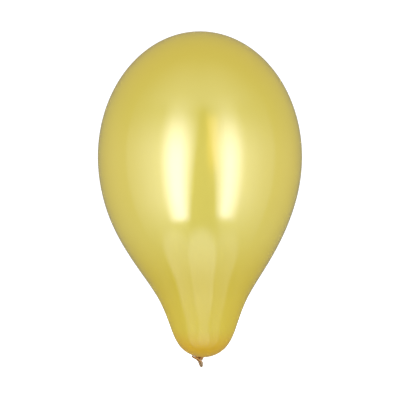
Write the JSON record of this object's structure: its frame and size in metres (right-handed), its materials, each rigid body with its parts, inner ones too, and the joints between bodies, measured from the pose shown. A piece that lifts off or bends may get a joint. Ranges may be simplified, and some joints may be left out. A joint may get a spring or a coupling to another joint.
{
  "type": "latex balloon",
  "caption": "Tied pearl latex balloon, pear-shaped and blown up, with a gathered neck, an overhand knot and a short flattened tail with a rolled lip.",
  "frame": {"origin": "middle of the tie groove round the neck, on the balloon's axis", "axes": "+Z from the knot up the balloon's axis to the crown; X and Z lie in the plane of the flattened tail, and the tail's upper corner is on the -X side; +Y is away from the side that is shown"},
  "size_m": [0.2599, 0.26, 0.4321],
  "materials": {
    "stretched_latex": "pearl, glossy, thin stretched film",
    "gathered_latex": "pearl, satin, gathered film",
    "slack_latex": "pearl, satin, unstretched film",
    "lip_latex": "pearl, satin, rolled bead"
  },
  "bodies": {
    "envelope": {"envelope": "stretched_latex", "neck": "gathered_latex"},
    "knot": {"knot_core": "gathered_latex", "knot_loop": "gathered_latex"},
    "tail": {"tail": "slack_latex", "rolled_lip": "lip_latex"}
  },
  "joints": [
    {"name": "knot_tilt", "type": "hinge", "parent": "envelope", "child": "knot", "pos_m": [0, 0, -0.0003], "axis": [0, 1, 0], "range_deg": [-45, 2], "stiffness_Nm_per_rad": 0.005},
    {"name": "tail_flap", "type": "hinge", "parent": "knot", "child": "tail", "pos_m": [-0.00265, 0, -0.00465], "axis": [0.6613, 0, -0.7501], "range_deg": [-20, 20], "stiffness_Nm_per_rad": 0.0005}
  ]
}
